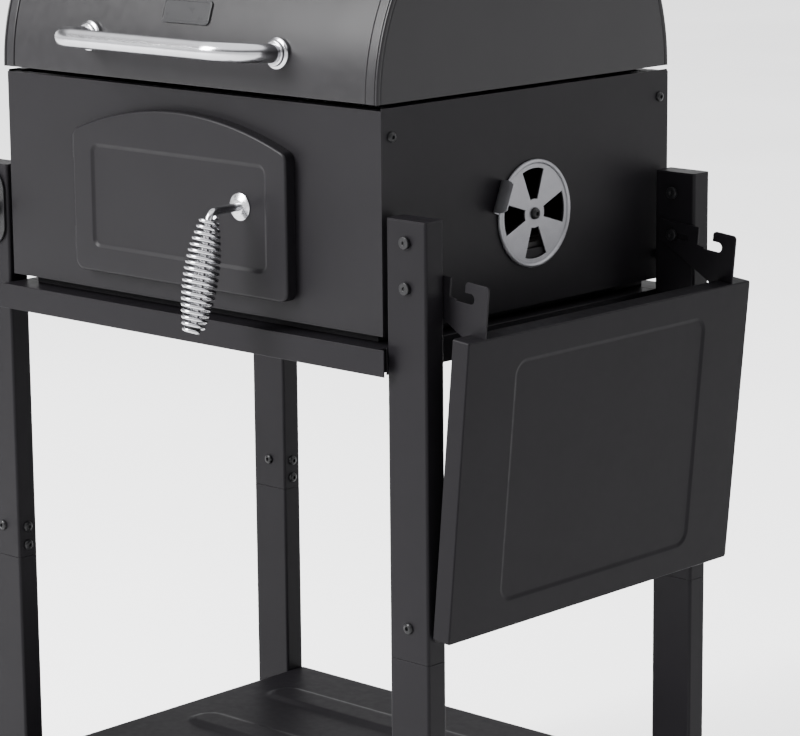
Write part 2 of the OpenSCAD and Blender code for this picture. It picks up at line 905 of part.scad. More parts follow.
module nut() {
    rotate([-90, 0, 0]) difference() {
        cylinder(r = 5.8, h = nut_h, $fn = 6);
        translate([0, 0, -1]) cylinder(r = bolt_r, h = nut_h + 2);
    }
}

module table_nuts() {
    color("#8c8c90") place() for (z = [-pivot_drop, -pivot_drop + bolt_rise]) {
        for (y = [legs_front + leg_d + stack, legs_back + touch]) translate([leg_x, y, z]) nut();
        translate([-leg_x, legs_front + leg_d + touch, z]) nut();
    }
}

// Rubber buttons on the legs that the hanging table leans on
module table_bumpers() {
    reach = 4;
    drop = 494;
    color("#161617") place() for (y = [front_leg_y, rear_leg_y])
        translate([leg_out_x, y, -drop]) rotate([0, 90, 0]) cylinder(r = 6, h = reach);
}

module bottle_opener() {
    color("#29292b") place() translate([-leg_x, legs_front, -144]) difference() {
        union() {
            xz_plate(-opener_t + touch, opener_t - touch) rotate(90) slot2d(36, 22);
            difference() {
                translate([0, -opener_t + touch, 4]) rotate([90, 0, 0]) cylinder(r = 15, h = 12);
                translate([0, 1, 4]) rotate([90, 0, 0]) cylinder(r = 12, h = 30);
                box([-30, -30, 6], [30, 1, 40]);
            }
        }
        for (z = [-pivot_drop + 144, -pivot_drop + bolt_rise + 144]) translate([0, 0, z])
            rotate([90, 0, 0]) cylinder(r = bolt_r, h = 10, center = true);
    }
}

firebox_front_panel();
firebox_rear_panel();
firebox_side_right();
firebox_side_left();
firebox_floor();
firebox_screws();
grate_ledges();
cooking_grate_right();
cooking_grate_left();
charcoal_grate();
ash_tray();
door_hinge_brackets();
door_hinge_pins();
door_panel();
door_washer();
door_handle_rod();
door_handle_grip();
door_latch_cam();
vent_disc_right();
vent_disc_left();
vent_screws();
lid_shell();
lid_end_right();
lid_end_left();
lid_handle();
lid_rosettes();
lid_badge();
lid_hinge_leaves();
body_hinge_leaves();
lid_hinge_pins();
upper_leg_front_right();
upper_leg_front_left();
upper_leg_rear_right();
upper_leg_rear_left();
lower_leg_front_right();
lower_leg_front_left();
lower_leg_rear_right();
lower_leg_rear_left();
leg_caps();
foot_caps();
leg_screws();
front_rail();
rear_rail();
side_rail_right();
side_rail_left();
bottom_shelf();
axle();
axle_caps();
wheel_front();
tyre_front();
wheel_rear();
tyre_rear();
table_right();
table_right_brackets();
table_bolts();
table_nuts();
table_bumpers();
bottle_opener();
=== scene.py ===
import math
from itertools import product

import bmesh
import bpy
from bpy.props import FloatProperty, FloatVectorProperty, IntProperty, PointerProperty
from mathutils import Matrix, Vector


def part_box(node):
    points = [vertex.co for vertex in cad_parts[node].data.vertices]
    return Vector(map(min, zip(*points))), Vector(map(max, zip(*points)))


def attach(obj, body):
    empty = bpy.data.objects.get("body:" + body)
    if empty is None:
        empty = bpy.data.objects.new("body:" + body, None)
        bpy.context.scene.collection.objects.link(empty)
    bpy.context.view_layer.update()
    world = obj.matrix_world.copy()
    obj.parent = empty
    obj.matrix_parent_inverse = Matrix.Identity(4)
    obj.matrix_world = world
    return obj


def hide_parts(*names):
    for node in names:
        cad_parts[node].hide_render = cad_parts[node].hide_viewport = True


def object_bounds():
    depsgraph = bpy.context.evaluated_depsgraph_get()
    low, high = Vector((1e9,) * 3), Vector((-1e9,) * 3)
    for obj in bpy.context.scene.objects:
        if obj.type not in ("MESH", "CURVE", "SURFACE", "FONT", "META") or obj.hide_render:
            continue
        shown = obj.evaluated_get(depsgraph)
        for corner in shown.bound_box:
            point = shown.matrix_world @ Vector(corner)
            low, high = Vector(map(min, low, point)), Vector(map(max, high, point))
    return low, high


bl_info = {
    "name": "Charcoal grill cart",
    "version": (1, 0, 0),
    "blender": (4, 5, 0),
    "location": "View3D > Sidebar > Grill cart",
    "description": "Dresses the packed grill cart with finished pieces and materials",
    "category": "Object",
}

MM = 0.001
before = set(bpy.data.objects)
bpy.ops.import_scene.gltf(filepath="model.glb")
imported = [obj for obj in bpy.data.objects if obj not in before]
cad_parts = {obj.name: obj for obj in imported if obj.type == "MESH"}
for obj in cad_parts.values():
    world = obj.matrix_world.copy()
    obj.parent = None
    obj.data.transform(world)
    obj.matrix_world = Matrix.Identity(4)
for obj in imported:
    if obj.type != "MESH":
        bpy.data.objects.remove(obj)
CAD_BOX = [list(corner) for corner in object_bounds()]

# Every piece is drawn in millimetres from the middle of the firebox's front rim.
PANEL_LOW, PANEL_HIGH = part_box("firebox_front_panel")
RIM = Vector(((PANEL_LOW.x + PANEL_HIGH.x) / 2, PANEL_LOW.y, PANEL_HIGH.z))
FIRE_HALF = (PANEL_HIGH.x - RIM.x) / MM
FLOOR_Z = CAD_BOX[0][2]


def place(x, y, z):
    """Millimetres from the middle of the front rim to the model's metres."""
    return RIM + Vector((x, y, z)) * MM


def span(node):
    """A CAD node's low and high corners, in millimetres from the middle of the front rim."""
    return [(corner - RIM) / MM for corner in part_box(node)]


def middle(node):
    """The middle of a CAD node's box, in millimetres from the middle of the front rim."""
    low, high = span(node)
    return (low + high) / 2


# ---------- materials ----------


def linear(code):
    """Turns an sRGB hex colour such as "#3b3a3c" into linear RGBA."""
    values = [int(code[i : i + 2], 16) / 255 for i in (1, 3, 5)]
    return [v / 12.92 if v <= 0.04045 else ((v + 0.055) / 1.055) ** 2.4 for v in values] + [1.0]


def scaled(colour, factor):
    """A linear colour made lighter or darker."""
    return [v * factor for v in colour[:3]] + [1.0]


def feed(tree, node, inputs):
    """Sets a node's inputs, each a value or another node's socket, by their names or numbers."""
    for key, value in inputs.items():
        if isinstance(value, bpy.types.NodeSocket):
            tree.links.new(value, node.inputs[key])
        else:
            node.inputs[key].default_value = value


def add(tree, kind, inputs=None, **settings):
    """Adds a node with its settings and inputs."""
    node = tree.nodes.new(kind)
    for key, value in settings.items():
        setattr(node, key, value)
    feed(tree, node, inputs or {})
    return node


def new_surface(name):
    """A material with a Principled shader, its tree and its object coordinates."""
    material = bpy.data.materials.new(name)
    material.use_nodes = True
    tree = material.node_tree
    tree.nodes.clear()
    shader = add(tree, "ShaderNodeBsdfPrincipled")
    output = add(tree, "ShaderNodeOutputMaterial", {0: shader.outputs[0]})
    output.location = (400, 0)
    return material, tree, shader, add(tree, "ShaderNodeTexCoord").outputs["Object"]


def drift(tree, where, size_mm, low, high, detail=3):
    """A value that drifts between low and high in patches about size_mm across."""
    patches = add(tree, "ShaderNodeTexNoise", {"Vector": where, "Scale": 1 / (size_mm * MM), "Detail": detail})
    return add(tree, "ShaderNodeMapRange", {
        "Value": patches.outputs["Fac"], "From Min": 0.3, "From Max": 0.7, "To Min": low, "To Max": high,
    }).outputs["Result"]


def clouded(tree, where, size_mm, first, second, detail=3):
    """A colour that drifts between two in patches about size_mm across."""
    factor = drift(tree, where, size_mm, 0, 1, detail)
    return add(tree, "ShaderNodeMix", {0: factor, 6: first, 7: second}, data_type="RGBA").outputs[2]


def relief(tree, where, size_mm, depth_mm, strength, detail=1, **under):
    """A raised skin with grains about size_mm across, laid over another when Normal names one."""
    grains = add(tree, "ShaderNodeTexNoise", {"Vector": where, "Scale": 1 / (size_mm * MM), "Detail": detail})
    inputs = {"Height": grains.outputs["Fac"], "Strength": strength, "Distance": depth_mm * MM, **under}
    return add(tree, "ShaderNodeBump", inputs).outputs[0]


def powder_coat(name, code, gloss, grain_mm=1.1, waves=0.0, sheen=0.072):
    """Baked polyester powder on steel sheet: satin, with fine orange peel and faint clouding."""
    material, tree, shader, where = new_surface(name)
    base = linear(code)
    body = clouded(tree, where, 70, scaled(base, 0.93), scaled(base, 1.07))
    # Painted highlight: the coat is painted paler along sharp folds, standing in for the bright glints their
    # edges catch.
    painted_edge_highlight = [min(1.0, v * 1.6 + 0.006) for v in base[:3]] + [1.0]
    rounded = add(tree, "ShaderNodeBevel", {"Radius": 1.2 * MM}, samples=4).outputs[0]
    flat = add(tree, "ShaderNodeNewGeometry").outputs["Normal"]
    dot = add(tree, "ShaderNodeVectorMath", {0: rounded, 1: flat}, operation="DOT_PRODUCT")
    edge_highlight_mask = add(tree, "ShaderNodeMapRange", {
        "Value": dot.outputs["Value"], "From Min": 0.98, "From Max": 0.8, "To Min": 0, "To Max": 0.6,
    }).outputs[0]
    skin = relief(tree, where, grain_mm, 0.12, 0.16)
    if waves:
        # Rolled sheet is never quite flat: shallow waves a hand's width apart.
        skin = relief(tree, where, 85, waves, 1.0, Normal=skin)
    feed(tree, shader, {
        # The base colour mixes in the painted edge highlight along the folds.
        "Base Color": add(tree, "ShaderNodeMix", {0: edge_highlight_mask, 6: body, 7: painted_edge_highlight}, data_type="RGBA").outputs[2],
        "Roughness": drift(tree, where, 9, gloss - 0.035, gloss + 0.035, 4),
        "Specular IOR Level": sheen,
        "Normal": skin,
    })
    return material


def bare_metal(name, code, rough, scratch_mm, spread=0.06, bump=0.05, stretch=(1, 1, 1)):
    """Plated or brushed steel: metallic, with fine lines and smudges in its gloss."""
    material, tree, shader, where = new_surface(name)
    base = linear(code)
    drawn = add(tree, "ShaderNodeMapping", {"Vector": where, "Scale": stretch}).outputs[0]
    feed(tree, shader, {
        "Base Color": clouded(tree, where, 14, scaled(base, 0.9), base),
        "Metallic": 1.0,
        "Roughness": drift(tree, drawn, scratch_mm, rough - spread, rough + spread),
        "Normal": relief(tree, drawn, scratch_mm, 0.1, bump, 3),
    })
    return material


def moulded(name, code, rough, grain_mm):
    """Moulded plastic, rubber or a black finish: matt, finely textured."""
    material, tree, shader, where = new_surface(name)
    base = linear(code)
    feed(tree, shader, {
        "Base Color": clouded(tree, where, 20, base, scaled(base, 1.25)),
        "Roughness": drift(tree, where, 5, rough - 0.05, rough + 0.08, 2),
        "Specular IOR Level": 0.13,
        "Normal": relief(tree, where, grain_mm, 0.15, 0.3, 2),
    })
    return material


def make_materials(cart):
    """One material for each slot of the record, named for the real finish."""
    body = "#" + "".join(f"{round(255 * c):02x}" for c in cart.coat_color)
    gloss = cart.coat_gloss
    # All painted slots share one coat; their reflection strength (sheen) is set part by part as painted light:
    # raised on the lid for a painted highlight, lowered on the frame, shelf and table for painted shade.
    return {
        "body_paint": powder_coat("Powder_coat_firebox", body, gloss),
        "lid_paint": powder_coat("Powder_coat_lid", body, gloss - 0.06, waves=cart.lid_waves, sheen=0.165),
        "frame_paint": powder_coat("Powder_coat_frame", body, gloss, sheen=0.052),
        "shelf_paint": powder_coat("Powder_coat_shelf", body, gloss + 0.04, sheen=0.04),
        "table_paint": powder_coat("Powder_coat_table", body, gloss + 0.02, sheen=0.044),
        # Zinc-plated pressings: pale grey, half-matt, lightly brushed.
        "galvanised": bare_metal("Zinc_plated_steel", "#727275", 0.5, 0.7),
        # Chromium plate over polished steel: bright, with a fine satin bloom.
        "chrome": bare_metal("Chrome_plate", "#a2a2a5", 0.2, 1.2, 0.06, 0.06),
        # Brushed stainless: lines drawn along the bar.
        "stainless": bare_metal("Brushed_stainless", "#a6a6a8", 0.25, 0.5, 0.07, 0.08, (0.04, 1, 1)),
        # Sand-cast iron under matt enamel: coarse grain.
        "cast_iron": moulded("Enamelled_cast_iron", "#232222", 0.55, 1.4),
        # Black-oxide screws: dark, half-gloss.
        "black_screw": moulded("Black_oxide_screw", "#0d0d0e", 0.34, 0.9),
        "badge": powder_coat("Badge_enamel", "#242425", 0.3, 0.8),
        # Injection-moulded polypropylene: spark-eroded texture.
        "black_plastic": moulded("Moulded_polypropylene", "#1c1c1d", 0.5, 0.8),
        "black_rubber": moulded("Black_rubber", "#131313", 0.7, 1.0),
        "tyre_rubber": moulded("Tyre_rubber", "#151515", 0.72, 1.2),
    }


# ---------- mesh helpers ----------

MATERIALS = {}


def dress(obj, body, slot, nodes=(), smooth=35.0):
    """Shades a finished piece, gives it its slot's material and lets it ride on its body."""
    mesh = obj.data
    mesh.materials.clear()
    mesh.materials.append(MATERIALS[slot])
    for face in mesh.polygons:
        face.material_index = 0
    mesh.shade_smooth()
    mesh.set_sharp_from_angle(angle=math.radians(smooth))
    # Broad faces keep their own normals, so that flat sheet reads as flat.
    obj.modifiers.new("Flat faces", "WEIGHTED_NORMAL").keep_sharp = True
    baked(obj)
    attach(obj, body)
    if nodes:
        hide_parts(*nodes)
    return obj


def new_object(name, mesh_or_bm):
    """Links a mesh, or a bmesh turned into one, as a new object at the origin."""
    if isinstance(mesh_or_bm, bmesh.types.BMesh):
        mesh = bpy.data.meshes.new(name)
        mesh_or_bm.to_mesh(mesh)
        mesh_or_bm.free()
    else:
        mesh = mesh_or_bm
    obj = bpy.data.objects.new(name, mesh)
    bpy.context.scene.collection.objects.link(obj)
    return obj


def baked(obj):
    """Applies an object's modifiers by making a plain mesh of its evaluated self."""
    graph = bpy.context.evaluated_depsgraph_get()
    mesh = bpy.data.meshes.new_from_object(obj.evaluated_get(graph))
    obj.modifiers.clear()
    old, obj.data = obj.data, mesh
    mesh.name = obj.name
    bpy.data.meshes.remove(old)
    return obj


def bevel(obj, width_mm, steps=2, angle=30.0):
    """Rounds an object's sharp edges and bakes the result."""
    mod = obj.modifiers.new("Edges", "BEVEL")
    mod.width = width_mm * MM
    mod.segments = steps
    mod.limit_method = "ANGLE"
    mod.angle_limit = math.radians(angle)
    mod.use_clamp_overlap = True
    mod.harden_normals = False
    return baked(obj)


def softened(node, body, slot, width_mm=0.5, steps=2, name=None):
    """A copy of a CAD node with its loose triangles joined and its edges rounded."""
    bm = bmesh.new()
    bm.from_mesh(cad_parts[node].data)
    bmesh.ops.remove_doubles(bm, verts=bm.verts, dist=2e-6)
    bmesh.ops.dissolve_limit(bm, angle_limit=math.radians(0.5), verts=bm.verts, edges=bm.edges)
    obj = bevel(new_object(name or node.capitalize(), bm), width_mm, steps)
    return dress(obj, body, slot, [node])


def loft(loops, caps=(True, True)):
    """Joins loops of equal length with faces; each loop is a list of (x, y, z) in millimetres."""
    bm = bmesh.new()
    rings = [[bm.verts.new(place(*p)) for p in loop] for loop in loops]
    count = len(rings[0])
    for low, high in zip(rings, rings[1:]):
        for i in range(count):
            j = (i + 1) % count
            bm.faces.new((low[i], low[j], high[j], high[i]))
    if caps[0]:
        bm.faces.new(rings[0][::-1])
    if caps[1]:
        bm.faces.new(rings[-1])
    return bm


def face_out(bm):
    """Merges doubles and turns all faces outwards."""
    bmesh.ops.remove_doubles(bm, verts=bm.verts, dist=1e-6)
    bmesh.ops.recalc_face_normals(bm, faces=bm.faces)
    return bm


def turned(profile, steps, centre=None, axis=(0, 0, 1)):
    """A turned solid at a centre or the origin: profile is (radius, height) pairs in millimetres."""
    bm = bmesh.new()
    turn = Vector((0, 0, 1)).rotation_difference(Vector(axis)).to_matrix()
    rings = []
    for radius, height in profile:
        if radius < 1e-6:
            rings.append([bm.verts.new(turn @ Vector((0, 0, height)) * MM)])
            continue
        rings.append([
            bm.verts.new(turn @ Vector((radius * math.cos(a), radius * math.sin(a), height)) * MM)
            for a in (2 * math.pi * i / steps for i in range(steps))
        ])
    for low, high in zip(rings, rings[1:]):
        for i in range(steps):
            j = (i + 1) % steps
            corners = [low[i % len(low)], low[j % len(low)], high[j % len(high)], high[i % len(high)]]
            unique = list(dict.fromkeys(corners))
            if len(unique) > 2:
                bm.faces.new(unique)
    if centre:
        for vert in bm.verts:
            vert.co += place(*centre)
    return face_out(bm)


def swept(points, radius, sides):
    """A round bar of one radius (or one for each point) along points in millimetres."""
    path = [Vector(p) for p in points]
    radii = radius if isinstance(radius, (list, tuple)) else [radius] * len(path)
    loops = []
    across = None
    for i, here in enumerate(path):
        ahead = (path[min(i + 1, len(path) - 1)] - path[max(i - 1, 0)]).normalized()
        if across is None:
            across = ahead.orthogonal().normalized()
        across = (across - ahead * across.dot(ahead)).normalized()
        other = ahead.cross(across)
        loops.append([
            here + (across * math.cos(a) + other * math.sin(a)) * radii[i]
            for a in (2 * math.pi * k / sides for k in range(sides))
        ])
    return face_out(loft(loops))


def joined(parts):
    """One bmesh from several."""
    whole = bmesh.new()
    for part in parts:
        mesh = bpy.data.meshes.new("part")
        part.to_mesh(mesh)
        part.free()
        whole.from_mesh(mesh)
        bpy.data.meshes.remove(mesh)
    return whole


def arc(centre, radius, start, end, steps):
    """Points of an arc in a plane, angles in degrees."""
    return [
        (centre[0] + radius * math.cos(a), centre[1] + radius * math.sin(a))
        for a in (math.radians(start + (end - start) * i / steps) for i in range(steps + 1))
    ]


def rounded_outline(low, high, radius, corner_steps, edge_steps):
    """A rounded rectangle, anticlockwise from its lower right, with points along its edges too."""
    (x0, y0), (x1, y1) = low, high
    corners = [
        ((x1 - radius, y0 + radius), -90), ((x1 - radius, y1 - radius), 0),
        ((x0 + radius, y1 - radius), 90), ((x0 + radius, y0 + radius), 180),
    ]
    points = []
    for (centre, start), (after, turn) in zip(corners, corners[1:] + corners[:1]):
        bend = arc(centre, radius, start, start + 90, corner_steps)
        points += bend
        first, last = Vector(bend[-1]), Vector(arc(after, radius, turn, turn + 90, 1)[0])
        points += [tuple(first.lerp(last, k / edge_steps)) for k in range(1, edge_steps)]
    return points


# ---------- geometry nodes ----------


def new_tree(name, inputs):
    """A geometry tree with named inputs: (name, socket type, default)."""
    tree = bpy.data.node_groups.new(name, "GeometryNodeTree")
    for label, kind, default in [("Geometry", "NodeSocketGeometry", None), *inputs]:
        socket = tree.interface.new_socket(label, in_out="INPUT", socket_type=kind)
        if default is not None:
            socket.default_value = default
    tree.interface.new_socket("Geometry", in_out="OUTPUT", socket_type="NodeSocketGeometry")
    return tree, add(tree, "NodeGroupInput").outputs


def end_tree(tree, geometry, material):
    """Realises instances, sets the material and closes the tree."""
    real = add(tree, "GeometryNodeRealizeInstances", {0: geometry})
    smooth = add(tree, "GeometryNodeSetShadeSmooth", {"Geometry": real.outputs[0]})
    painted = add(tree, "GeometryNodeSetMaterial", {"Geometry": smooth.outputs[0], "Material": material})
    add(tree, "NodeGroupOutput", {0: painted.outputs[0]})


def run_tree(name, tree, mesh, values):
    """Runs a tree on a mesh with its inputs set and gives back a plain mesh object."""
    obj = new_object(name, mesh)
    mod = obj.modifiers.new("Nodes", "NODES")
    mod.node_group = tree
    for item in tree.interface.items_tree:
        if item.in_out == "INPUT" and item.name in values:
            mod[item.identifier] = values[item.name]
    return baked(obj)


def scatter_tree(slot):
    """Sets a copy of one shape on every point, its Z along the point's facing."""
    inputs = [("Shape", "NodeSocketObject", None), ("Scale", "NodeSocketFloat", 1.0)]
    tree, source = new_tree("Set_on_points", inputs)
    shape = add(tree, "GeometryNodeObjectInfo", {"Object": source["Shape"]})
    facing = add(tree, "GeometryNodeInputNamedAttribute", {"Name": "facing"}, data_type="FLOAT_VECTOR")
    spin = add(tree, "GeometryNodeInputNamedAttribute", {"Name": "spin"}, data_type="FLOAT")
    align = add(tree, "FunctionNodeAlignRotationToVector", {"Vector": facing.outputs[0]}, axis="Z")
    roll = add(tree, "FunctionNodeAxisAngleToRotation", {"Angle": spin.outputs[0]})
    both = add(
        tree, "FunctionNodeRotateRotation", {0: align.outputs[0], 1: roll.outputs[0]}, rotation_space="LOCAL"
    )
    size = add(tree, "ShaderNodeCombineXYZ", {axis: source["Scale"] for axis in range(3)})
    points = add(tree, "GeometryNodeMeshToPoints", {"Mesh": source["Geometry"]})
    put = add(tree, "GeometryNodeInstanceOnPoints", {
        "Points": points.outputs[0], "Instance": shape.outputs["Geometry"], "Rotation": both.outputs[0],
        "Scale": size.outputs[0],
    })
    end_tree(tree, put.outputs[0], MATERIALS[slot])
    return tree


def scattered(name, shape_bm, spots, body, slot, nodes, smooth=35.0):
    """Repeats one shape at spots, each (position, facing, spin in degrees), in millimetres."""
    shape = new_object(name + "_shape", shape_bm)
    mesh = bpy.data.meshes.new(name)
    mesh.from_pydata([place(*where) for where, _, _ in spots], [], [])
    for key, kind in (("facing", "FLOAT_VECTOR"), ("spin", "FLOAT")):
        mesh.attributes.new(key, kind, "POINT")
    for i, (_, towards, angle) in enumerate(spots):
        mesh.attributes["facing"].data[i].vector = towards
        mesh.attributes["spin"].data[i].value = math.radians(angle)
    obj = run_tree(name, scatter_tree(slot), mesh, {"Shape": shape})
    bpy.data.objects.remove(shape)
    return dress(obj, body, slot, nodes, smooth)


# ---------- lid ----------

LID_LOW, LID_HIGH = span("lid_shell")
LID_Y, LID_Z = (LID_LOW.y + LID_HIGH.y) / 2, LID_LOW.z
LID_R = LID_HIGH.z - LID_Z
# The end caps' bands wrap over the sheet from here to the lid's ends.
LID_GROOVE = FIRE_HALF - 15.6


def half_turned(profile, steps=120):
    """Turns a closed (x, radius) outline half way round the lid's axis and closes its ends."""
    loops = []
    for i in range(steps + 1):
        a = math.pi * i / steps
        loops.append([(x, LID_Y - r * math.cos(a), LID_Z + r * math.sin(a)) for x, r in profile])
    return face_out(loft(loops))


def on_lid(x, rise, out, angle):
    """A point out from the lid's skin, rise along it from angle degrees above level at the front."""
    a = math.radians(angle) + rise / LID_R
    return (x, LID_Y - (LID_R + out) * math.cos(a), LID_Z + (LID_R + out) * math.sin(a))


class GRILLCART_OT_lid(bpy.types.Operator):
    """Make the barrel lid with its end caps, handle, badge and hinge leaves"""

    bl_idname = "grillcart.lid"
    bl_label = "Lid"

    def execute(self, context):
        self.skin()
        self.ends()
        self.handle(context.scene.grill_cart)
        self.badge()
        softened("lid_hinge_leaves", "lid", "body_paint", 0.5)
        softened("body_hinge_leaves", "base", "body_paint", 0.4)
        softened("lid_hinge_pins", "base", "galvanised", 0.4)
        return {"FINISHED"}

    def skin(self):
        r, groove, band, sheet = LID_R, LID_GROOVE, 1.4, 1.2
        end = FIRE_HALF - 2
        half = [
            (0.0, r), (groove - 1.0, r), (groove - 0.4, r - 0.3), (groove, r - 1.0), (groove + 0.6, r - band),
            (end, r - band),
        ]
        inside = [(end, r - band - sheet), (-end, r - band - sheet)]
        parts = [half_turned([(-x, y) for x, y in half[::-1]] + half[1:] + inside)]
        # A turned-in lip stiffens the front and rear edges.
        lip, lip_half = ((r - 0.6, 0.05), (r - 14, 0.05), (r - 14, sheet), (r - 1.4, sheet)), FIRE_HALF - 18
        for side in (-1, 1):
            parts.append(face_out(loft([
                [(x, LID_Y + side * y, LID_Z + z) for y, z in lip] for x in (-lip_half, lip_half)
            ])))
        dress(bevel(new_object("Lid_skin", joined(parts)), 0.4), "lid", "lid_paint", ["lid_shell"], 30)

    def ends(self):
        r, groove, edge = LID_R, LID_GROOVE, FIRE_HALF
        # Over the sheet, across the band, down its rolled bead and in over the flat end.
        cap = [
            (groove + 0.3, r - 1.3), (groove + 0.2, r - 0.3), (groove + 0.5, r + 0.25), (groove + 1.2, r + 0.5),
            (groove + 1.6, r + 0.5), (edge - 5.0, r + 0.5), (edge - 4.6, r + 0.5), (edge - 4.1, r + 0.3),
            (edge - 3.8, r - 0.2), (edge - 3.4, r - 0.2), (edge - 3.1, r + 0.4), (edge - 2.4, r + 1.0),
            (edge - 1.4, r + 1.15), (edge - 0.5, r + 0.8), (edge, r), (edge, r - 2.6), (edge - 0.3, r - 3.2),
            (edge - 0.9, r - 3.6), (edge - 0.9, r - 4.4), (edge - 0.5, r - 5.0), (edge - 0.4, r - 6),
            (edge - 0.4, 0.0), (edge - 1.7, 0.0), (edge - 1.7, r - 1.3),
        ]
        for side, end in ((1, "right"), (-1, "left")):
            obj = new_object("Lid_end_" + end, half_turned([(side * x, y) for x, y in cap]))
            dress(obj, "lid", "lid_paint", ["lid_end_" + end], 50)

    def handle(self, cart):
        across, reach, bend, rise, tilt = 133.0, 58.0, 40.0, 39.0, math.radians(4.5)
        root = (LID_Y - math.sqrt(LID_R**2 - rise**2), LID_Z + rise)

        def out(x, d):
            return (x, root[0] - d * math.cos(tilt), root[1] + d * math.sin(tilt))

        half = [(across, 1.0), (across, reach - bend)]
        half += arc((across - bend, reach - bend), bend, 0, 90, 14)[1:]
        path = [out(-x, d) for x, d in half] + [out(x, d) for x, d in half[::-1]]
        tube = new_object("Lid_handle_tube", swept(path, cart.handle_diameter / MM / 2, 40))
        dress(tube, "lid", "chrome", ["lid_handle"], 50)
        collar = [
            (0, -1.8), (15.0, -1.8), (15.4, -1.2), (15.4, 2.6), (14.8, 3.5), (13.2, 4.0), (12.5, 4.4),
            (12.4, 6.8), (11.9, 7.7), (11, 8.1), (0, 8.1),
        ]
        facing = (0, -math.cos(tilt), math.sin(tilt))
        spots = [(out(side * across, 0), facing, 0) for side in (-1, 1)]
        scattered("Lid_handle_collars", turned(collar, 48), spots, "lid", "chrome", ["lid_rosettes"], 40)

    def badge(self):
        half_wide, half_tall, corner, above_level = 34, 12.3, 5, 19.1
        rings = (
            (0, -0.4), (0, 1.5), (0.3, 1.95), (0.8, 2.15), (1.9, 2.15), (2.3, 1.95), (2.6, 1.3), (2.9, 1.2)
        )
        loops = []
        for inset, out in rings:
            x, y = half_wide - inset, half_tall - inset
            outline = rounded_outline((-x, -y), (x, y), corner - inset * 0.8, 6, 8)
            loops.append([on_lid(u, v, out, above_level) for u, v in outline])
        dress(new_object("Lid_badge_blank", face_out(loft(loops))), "lid", "badge", ["lid_badge"], 40)


# ---------- firebox ----------


def screw_head(radius, height):
    """A pan head with a recess in its top, its seat at the origin and facing +Z."""
    return turned([
        (0, height * 0.35), (radius * 0.3, height * 0.4), (radius * 0.38, height * 0.98),
        (radius * 0.55, height), (radius * 0.78, height * 0.86), (radius * 0.93, height * 0.6),
        (radius, height * 0.25), (radius, 0.0), (0, 0.0),
    ], 24)


def block(low, high):
    """A box between two corners in millimetres."""
    bm = bmesh.new()
    bmesh.ops.create_cube(bm, size=1.0)
    size, centre = Vector(high) - Vector(low), (Vector(high) + Vector(low)) / 2
    for vert in bm.verts:
        vert.co = place(*(centre + Vector(v * s for v, s in zip(vert.co, size))))
    return bm


class GRILLCART_OT_firebox(bpy.types.Operator):
    """Make the firebox: panels, floor, ledges, grates, ash tray and its side screws"""

    bl_idname = "grillcart.firebox"
    bl_label = "Firebox"

    def execute(self, context):
        edge = context.scene.grill_cart.edge_radius / MM
        for node in ("firebox_front_panel", "firebox_rear_panel", "firebox_side_right", "firebox_side_left"):
            softened(node, "base", "body_paint", edge, 3, node.capitalize().removesuffix("_panel"))
        softened("firebox_floor", "base", "body_paint", 0.6, name="Firebox_floor_pan")
        softened("grate_ledges", "base", "body_paint", 0.4)
        softened("ash_tray", "base", "galvanised", 0.5)
        for side in ("right", "left"):
            softened("cooking_grate_" + side, "base", "cast_iron", 1.2)
        softened("charcoal_grate", "base", "cast_iron", 1.0)
        low, high = span("firebox_screws")
        head = 4.6
        places = product((-1, 1), (low.y + head, high.y - head), (high.z - head, low.z + head))
        spots = [((side * FIRE_HALF, y, z), (side, 0, 0), 20 + 31 * k) for k, (side, y, z) in enumerate(places)]
        scattered("Firebox_screws", screw_head(5.2, 3.0), spots, "base", "black_screw", ["firebox_screws"])
        return {"FINISHED"}


# ---------- door ----------

DOOR_LOW, DOOR_HIGH = span("door_panel")
DOOR_FACE = DOOR_LOW.y
ARCH_R = 410.0
# Points on each corner and along each edge of the door's outlines, the same for all so that they join.
DOOR_STEPS = (8, 24)


def arched_outline(inset, radius=10.0):
    """The door's outline: square below, a shallow arch above, in the order of rounded_outline."""
    corner_steps, edge_steps = DOOR_STEPS
    half, low = DOOR_HIGH.x - inset, DOOR_LOW.z + inset
    centre, reach = DOOR_HIGH.z - ARCH_R, ARCH_R - inset
    beta = math.degrees(math.asin((half - radius) / (reach - radius)))
    shoulder = centre + math.sqrt((reach - radius) ** 2 - (half - radius) ** 2)

    def edge(a, b):
        return [tuple(Vector(a).lerp(Vector(b), k / edge_steps)) for k in range(1, edge_steps)]

    right = arc((half - radius, low + radius), radius, -90, 0, corner_steps)
    upper = arc((half - radius, shoulder), radius, 0, 90 - beta, corner_steps)
    crown = arc((0, centre), reach, 90 - beta, 90 + beta, edge_steps)[1:-1]
    left = arc((radius - half, shoulder), radius, 90 + beta, 180, corner_steps)
    lower = arc((radius - half, low + radius), radius, 180, 270, corner_steps)
    side = right + edge(right[-1], upper[0]) + upper
    return side + crown + left + edge(left[-1], lower[0]) + lower + edge(lower[-1], right[0])


